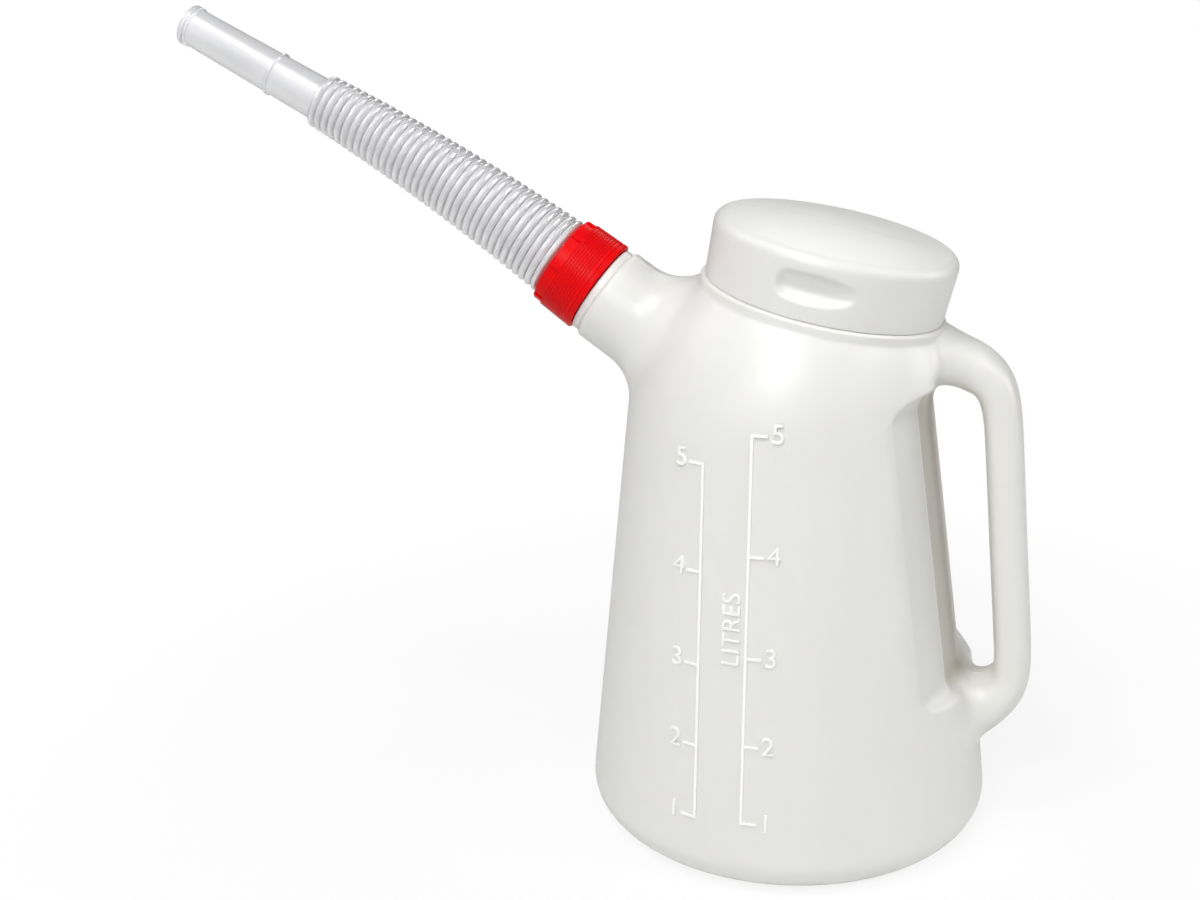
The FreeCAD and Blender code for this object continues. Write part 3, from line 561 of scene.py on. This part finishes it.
def raised_text(name, words, x, z, height, material, turned=0.0):
    """Flat lettering made a mesh and wrapped onto the side, with u round the side, v up it and w outwards.

    The point moves to side_point(x + u cos turn - v sin turn, z + (u sin turn + v cos turn) cos slope, w).
    """
    curve = bpy.data.curves.new(name, "FONT")
    curve.body = words
    curve.size = height / CAPITAL_SHARE
    curve.align_x = "CENTER"
    curve.align_y = "CENTER"
    curve.extrude = FIGURE_DEPTH / 2
    curve.bevel_depth = FIGURE_EDGE
    curve.bevel_resolution = 1
    curve.offset = FIGURE_THINNING
    curve.resolution_u = 6
    flat = bpy.data.objects.new(name + "_flat", curve)
    bpy.context.scene.collection.objects.link(flat)
    bpy.context.view_layer.update()
    mesh = bpy.data.meshes.new_from_object(flat.evaluated_get(bpy.context.evaluated_depsgraph_get()))
    bpy.data.objects.remove(flat)
    points = np.empty(len(mesh.vertices) * 3)
    mesh.vertices.foreach_get("co", points)
    points = points.reshape(-1, 3)
    middle = (points[:, :2].min(0) + points[:, :2].max(0)) / 2
    u, v = (points[:, :2] - middle).T
    turn = math.radians(turned)
    across = u * math.cos(turn) - v * math.sin(turn)
    up = u * math.sin(turn) + v * math.cos(turn)
    proud = points[:, 2] + FIGURE_PROUD - FIGURE_DEPTH / 2
    placed = side_point(x + across, z + up * math.cos(math.atan(SIDE_TAPER)), proud) * MM
    mesh.vertices.foreach_set("co", placed.ravel())
    mesh.materials.clear()
    mesh.materials.append(material)
    mesh.update()
    made = bpy.data.objects.new(name, mesh)
    bpy.context.scene.collection.objects.link(made)
    return made


# ---------------------------------------------------------------- corrugated spout

def spout_path(along):
    """Centre line from the collar's outer end: an arc over the corrugated length, straight after it."""
    rise = math.asin(SPOUT_AXIS[2])
    bend = HOSE_DROOP / HOSE_LENGTH
    bent = np.clip(along, 0, HOSE_LENGTH)
    angle = rise - bend * bent
    rest = along - bent
    start = SPOUT_START + SPOUT_AXIS * COLLAR_LENGTH
    x = start[0] + (np.sin(angle) - math.sin(rise)) / bend - rest * np.cos(angle)
    z = start[2] + (np.cos(angle) - math.cos(rise)) / bend + rest * np.sin(angle)
    return x, z, angle


def tube(along, radius, sides):
    """Rings round the centre line: point = centre + radius (cos t * across + sin t * Y)."""
    x, z, angle = spout_path(along)
    turn = np.linspace(0, 2 * math.pi, sides, endpoint=False)
    across = np.stack([np.sin(angle), np.zeros_like(angle), np.cos(angle)], axis=-1)
    centre = np.stack([x, np.zeros_like(x), z], axis=-1)
    sideways = np.sin(turn)[None, :, None] * np.array([0.0, 1.0, 0.0])
    outwards = np.cos(turn)[None, :, None] * across[:, None, :] + sideways
    ring = centre[:, None, :] + radius[:, None, None] * outwards
    rows = np.arange(len(along) - 1)[:, None] * sides
    columns = np.arange(sides)[None, :]
    after = (columns + 1) % sides
    faces = np.stack([rows + columns, rows + sides + columns, rows + sides + after, rows + after], axis=-1)
    return ring.reshape(-1, 3), faces.reshape(-1, 4)


def crest_radius(along):
    """Radius of the rings' crests, falling evenly from the collar to the nozzle."""
    return CREST_AT_COLLAR + (CREST_AT_NOZZLE - CREST_AT_COLLAR) * along / HOSE_LENGTH


def nozzle_radius(along):
    """Radius of the plain nozzle, falling evenly to its tip."""
    return NOZZLE_AT_HOSE + (NOZZLE_AT_TIP - NOZZLE_AT_HOSE) * (along - HOSE_LENGTH) / NOZZLE_LENGTH


def rings(first, last, per_ring):
    """Corrugations: crest radius less depth (1 - |sin(pi phase)| ^ 0.55), wide crests and narrow roots."""
    phase = np.linspace(0, RING_COUNT, RING_COUNT * per_ring + 1)
    along = first + (last - first) * phase / RING_COUNT
    wave = np.abs(np.sin(math.pi * phase)) ** 0.55
    return along, crest_radius(along) - RING_DEPTH * (1 - wave)


def rounded_step(start, end, low, high, count):
    """Radius low + (high - low) (1 - cos(pi share)) / 2, with the share from 0 to 1 along the step."""
    along = np.linspace(start, end, count)
    share = (along - start) / (end - start)
    return along, low + (high - low) * (1 - np.cos(math.pi * share)) / 2


def bead(start, width, height):
    """A bead on the nozzle: nozzle radius + height |sin(pi share)| ^ 0.6."""
    along = np.linspace(start, start + width, 9)
    return along, nozzle_radius(along) + height * np.abs(np.sin(math.pi * (along - start) / width)) ** 0.6


def spout_outside():
    """Places along the spout and radii outside: flange, cuff, rings, step, nozzle with bead, thick tip."""
    flange_top = FLANGE_FOOT + FLANGE_THICKNESS
    tip = HOSE_LENGTH + NOZZLE_LENGTH
    stretches = [
        (np.array([FLANGE_FOOT, flange_top - 0.3]), np.array([FLANGE_RADIUS, FLANGE_RADIUS])),
        (np.array([flange_top, CUFF_END]), np.array([CUFF_RADIUS, CUFF_RADIUS])),
        rings(FIRST_RING, HOSE_LENGTH, 10),
        rounded_step(HOSE_LENGTH + 0.2, HOSE_LENGTH + 1.2, CREST_AT_NOZZLE - RING_DEPTH, NOZZLE_AT_HOSE, 5),
        bead(HOSE_LENGTH + BEAD_PLACE, BEAD_WIDTH, BEAD_HEIGHT),
        bead(tip - TIP_LENGTH, 1.8, BEAD_HEIGHT * 0.8),
        (np.array([tip - 2.4, tip - 0.8, tip - 0.3, tip]),
         np.array([NOZZLE_AT_TIP + 0.75, NOZZLE_AT_TIP + 0.8, NOZZLE_AT_TIP + 0.6, NOZZLE_AT_TIP + 0.1])),
    ]
    return (np.concatenate(parts) for parts in zip(*stretches))


def spout_inside():
    """Places along the spout and radii inside, one wall in from the cuff, the rings and the nozzle."""
    tip = HOSE_LENGTH + NOZZLE_LENGTH
    along, radius = rings(FIRST_RING, HOSE_LENGTH, 6)
    end = np.array([HOSE_LENGTH + 1.5, tip - 3.0, tip])
    start = np.array([FLANGE_FOOT, CUFF_END])
    return (np.concatenate([start, along, end]),
            np.concatenate([np.full(2, CUFF_RADIUS - SPOUT_WALL), radius - SPOUT_WALL,
                            nozzle_radius(end) - SPOUT_WALL]))


def closed_tube(name, outside, inside, sides, material):
    """An outer tube and an inner one turned inside out, joined by flat rings at both ends."""
    outer, outer_faces = tube(*outside, sides)
    inner, inner_faces = tube(*inside, sides)
    shift = len(outer)
    columns = np.arange(sides)
    after = (columns + 1) % sides
    last_outer = shift - sides
    last_inner = shift + len(inner) - sides
    foot = np.stack([columns, after, shift + after, shift + columns], axis=-1)
    corners = (last_outer + columns, last_inner + columns, last_inner + after, last_outer + after)
    tip = np.stack(corners, axis=-1)
    faces = np.concatenate([outer_faces, inner_faces[:, ::-1] + shift, foot, tip])
    made = mesh_object(name, np.concatenate([outer, inner]) * MM, faces, material)
    made.data.set_sharp_from_angle(angle=math.radians(50))
    return made


# ---------------------------------------------------------------- settings

def plastic_color(name, description, default):
    """A colour that the user can change."""
    return FloatVectorProperty(name=name, description=description, subtype="COLOR", size=3, min=0, max=1,
                               default=default)


class JugSettings(bpy.types.PropertyGroup):
    """Colours of the jug's plastics."""

    body_color: plastic_color("Body", "Colour of the jug's plastic", (0.77, 0.765, 0.735))
    scale_color: plastic_color("Scale", "Colour of the raised lines and figures", (0.97, 0.97, 0.965))
    lid_color: plastic_color("Lid", "Colour of the lid's plastic", (0.77, 0.765, 0.74))
    collar_color: plastic_color("Collar", "Colour of the threaded collar", (0.74, 0.004, 0.006))
    spout_color: plastic_color("Spout", "Colour of the flexible spout", (0.83, 0.835, 0.855))


class StageSettings(bpy.types.PropertyGroup):
    """The studio's floor and lights."""

    floor_size: FloatProperty(name="Floor", description="Width of the floor", default=6.0, min=1.0,
                              subtype="DISTANCE", unit="LENGTH")
    key_power: FloatProperty(name="Key light", description="Power of the front light; the others share it",
                             default=18.8, min=0.0, subtype="POWER", unit="POWER")


# ---------------------------------------------------------------- operators

class JUG_OT_body(bpy.types.Operator):
    """Dress the blow-moulded body"""

    bl_idname = "jug.body"
    bl_label = "Jug body"

    def execute(self, context):
        settings = context.scene.jug_settings
        material = milky_plastic("body_plastic", settings.body_color, 0.9, soft_edge=0.003,
                                 scale_color=settings.scale_color)
        paint("jug_body", material)
        skin = smooth_copy("jug_body", "jug_skin", material, 32, relaxed=True)
        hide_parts("jug_body")
        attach(skin, "jug")
        return {"FINISHED"}


class JUG_OT_figures(bpy.types.Operator):
    """Raise the scale's figures on the side"""

    bl_idname = "jug.figures"
    bl_label = "Raised figures"

    def execute(self, context):
        material = milky_plastic("figure_plastic", context.scene.jug_settings.scale_color, 0.0)
        for column, x, marks, lift in FIGURE_COLUMNS:
            for number, height in enumerate(marks, start=1):
                name = "%s_figure_%d" % (column, number)
                made = raised_text(name, str(number), x, height + lift, FIGURE_HEIGHT, material)
                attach(made, "jug")
        made = raised_text("litre_word", "LITRES", *WORD_PLACE, WORD_HEIGHT, material, 90.0)
        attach(made, "jug")
        return {"FINISHED"}


class JUG_OT_lid(bpy.types.Operator):
    """Dress the push-on lid"""

    bl_idname = "jug.lid"
    bl_label = "Lid"

    def execute(self, context):
        material = milky_plastic("lid_plastic", context.scene.jug_settings.lid_color, 1.2, 0.02, 0.0015)
        paint("lid", material)
        skin = smooth_copy("lid", "lid_skin", material, 32)
        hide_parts("lid")
        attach(skin, "lid")
        return {"FINISHED"}


class JUG_OT_collar(bpy.types.Operator):
    """Dress the threaded collar"""

    bl_idname = "jug.collar"
    bl_label = "Collar"

    def execute(self, context):
        material = collar_plastic(context.scene.jug_settings.collar_color)
        paint("collar_nut", material)
        skin = smooth_copy("collar_nut", "collar_skin", material, 30)
        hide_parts("collar_nut")
        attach(skin, "collar")
        return {"FINISHED"}


class JUG_OT_spout(bpy.types.Operator):
    """Make the flexible corrugated spout"""

    bl_idname = "jug.spout"
    bl_label = "Flexible spout"

    def execute(self, context):
        material = spout_plastic(context.scene.jug_settings.spout_color)
        paint("flexible_spout", material)
        made = closed_tube("corrugated_spout", spout_outside(), spout_inside(), TUBE_SIDES, material)
        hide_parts("flexible_spout")
        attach(made, "spout")
        return {"FINISHED"}


def aimed(azimuth, rise):
    """Unit vector at these angles in degrees: azimuth from -Y towards +X, rise from the floor."""
    turn, lift = math.radians(azimuth), math.radians(rise)
    return Vector((math.sin(turn) * math.cos(lift), -math.cos(turn) * math.cos(lift), math.sin(lift)))


def white_to_camera(nodes, shader, white, share):
    """Mixes white into what the camera and clear plastic see, by a share from 0 to 1."""
    path = nodes.node("ShaderNodeLightPath")
    rays = {"0": path["Is Camera Ray"], "1": path["Is Transmission Ray"]}
    seen = nodes.node("ShaderNodeMath", {"operation": "ADD", "use_clamp": True}, **rays)["Value"]
    return nodes.node("ShaderNodeMixShader", **{"0": seen * share, "1": shader, "2": white})["Shader"]


class JUG_OT_stage(bpy.types.Operator):
    """Set the pale floor, the soft lights and the camera"""

    bl_idname = "jug.stage"
    bl_label = "Stage"

    def execute(self, context):
        settings = context.scene.stage_settings
        self.floor(settings)
        self.world(context.scene)
        for name, azimuth, rise, share in STUDIO_LIGHTS:
            self.light(context.scene, name, aimed(azimuth, rise), settings.key_power * share)
        self.camera(context.scene)
        context.scene.view_settings.view_transform = "Standard"
        return {"FINISHED"}

    @staticmethod
    def light(scene, name, side, power):
        """A square soft light on that side, aimed at the jug's middle."""
        lamp = bpy.data.lights.new(name, "AREA")
        lamp.shape = "RECTANGLE"
        lamp.size = LIGHT_SIZE
        lamp.size_y = LIGHT_SIZE
        lamp.energy = power
        made = bpy.data.objects.new(name, lamp)
        made.location = Vector(LIGHTS_AIM) + LIGHT_DISTANCE * side
        made.rotation_euler = (Vector(LIGHTS_AIM) - made.location).to_track_quat("-Z", "Y").to_euler()
        scene.collection.objects.link(made)

    @staticmethod
    def floor(settings):
        """A plain paper floor that keeps the shadow near the jug and turns plain white away from it."""
        half = settings.floor_size / 2
        corners = np.array([[-half, -half, 0], [half, -half, 0], [half, half, 0], [-half, half, 0]], float)
        corners[:, 2] = FLOOR_HEIGHT
        finish = Finish("floor_paper", Base_Color=FLOOR_GREY, Roughness=0.9)
        white = finish.node("ShaderNodeEmission", Color=WHITE)["Emission"]
        away = finish.node("ShaderNodeVectorMath", {"operation": "LENGTH"}, **{"0": finish.place})["Value"]
        share = away.turns(*FLOOR_FADE, FLOOR_WHITENING, 1.0)
        mix = white_to_camera(finish, finish.shader["BSDF"], white, share)
        finish.tree.links.new(mix.socket, finish.output.made.inputs["Surface"])
        floor = mesh_object("floor", corners, np.array([[0, 1, 2, 3]]), finish.material, smooth=False)

    @staticmethod
    def world(scene):
        """Faint even light, and plain white where the camera looks past the floor."""
        world = bpy.data.worlds.new("studio")
        scene.world = world
        world.use_nodes = True
        nodes = Nodes(world.node_tree)
        ambient = nodes.node("ShaderNodeBackground", Color=WHITE, Strength=AMBIENT_STRENGTH)["Background"]
        white = nodes.node("ShaderNodeBackground", Color=WHITE)["Background"]
        nodes.node("ShaderNodeOutputWorld", Surface=white_to_camera(nodes, ambient, white, 1.0))

    @staticmethod
    def camera(scene):
        """Camera from its azimuth, height angle and roll, aimed at a point in the plane Y = 0."""
        roll, turn = math.radians(CAMERA_ROLL), math.radians(CAMERA_AZIMUTH)
        back = aimed(CAMERA_AZIMUTH, CAMERA_RISE)
        right = Vector((math.cos(turn), math.sin(turn), 0))
        up = back.cross(right)
        rolled_right = right * math.cos(roll) + up * math.sin(roll)
        rolled_up = up * math.cos(roll) - right * math.sin(roll)
        lens = bpy.data.cameras.new("camera")
        lens.sensor_width = SENSOR_WIDTH
        lens.lens = CAMERA_LENS
        lens.clip_start = 0.01
        made = bpy.data.objects.new("camera", lens)
        matrix = Matrix((rolled_right, rolled_up, back)).transposed().to_4x4()
        matrix.translation = Vector(CAMERA_AIM) + back * CAMERA_DISTANCE
        made.matrix_world = matrix
        scene.collection.objects.link(made)
        scene.camera = made


class JUG_PT_panel(bpy.types.Panel):
    """Buttons that dress the jug and set the stage"""

    bl_idname = "JUG_PT_panel"
    bl_label = "Oil Measuring Jug"
    bl_space_type = "VIEW_3D"
    bl_region_type = "UI"
    bl_category = "Oil Jug"

    def draw(self, context):
        layout = self.layout
        for name in ("body_color", "scale_color", "lid_color", "collar_color", "spout_color"):
            layout.prop(context.scene.jug_settings, name)
        for name in ("floor_size", "key_power"):
            layout.prop(context.scene.stage_settings, name)
        for step in STEPS:
            layout.operator(step.bl_idname)


STEPS = (JUG_OT_body, JUG_OT_figures, JUG_OT_lid, JUG_OT_collar, JUG_OT_spout, JUG_OT_stage)
CLASSES = (JugSettings, StageSettings) + STEPS + (JUG_PT_panel,)


def register():
    for item in CLASSES:
        bpy.utils.register_class(item)
    bpy.types.Scene.jug_settings = PointerProperty(type=JugSettings)
    bpy.types.Scene.stage_settings = PointerProperty(type=StageSettings)


def unregister():
    del bpy.types.Scene.stage_settings
    del bpy.types.Scene.jug_settings
    for item in reversed(CLASSES):
        bpy.utils.unregister_class(item)


def main():
    register()
    bpy.ops.jug.body()
    bpy.ops.jug.figures()
    bpy.ops.jug.lid()
    bpy.ops.jug.collar()
    bpy.ops.jug.spout()
    bpy.ops.jug.stage()


if __name__ == "__main__":
    main()
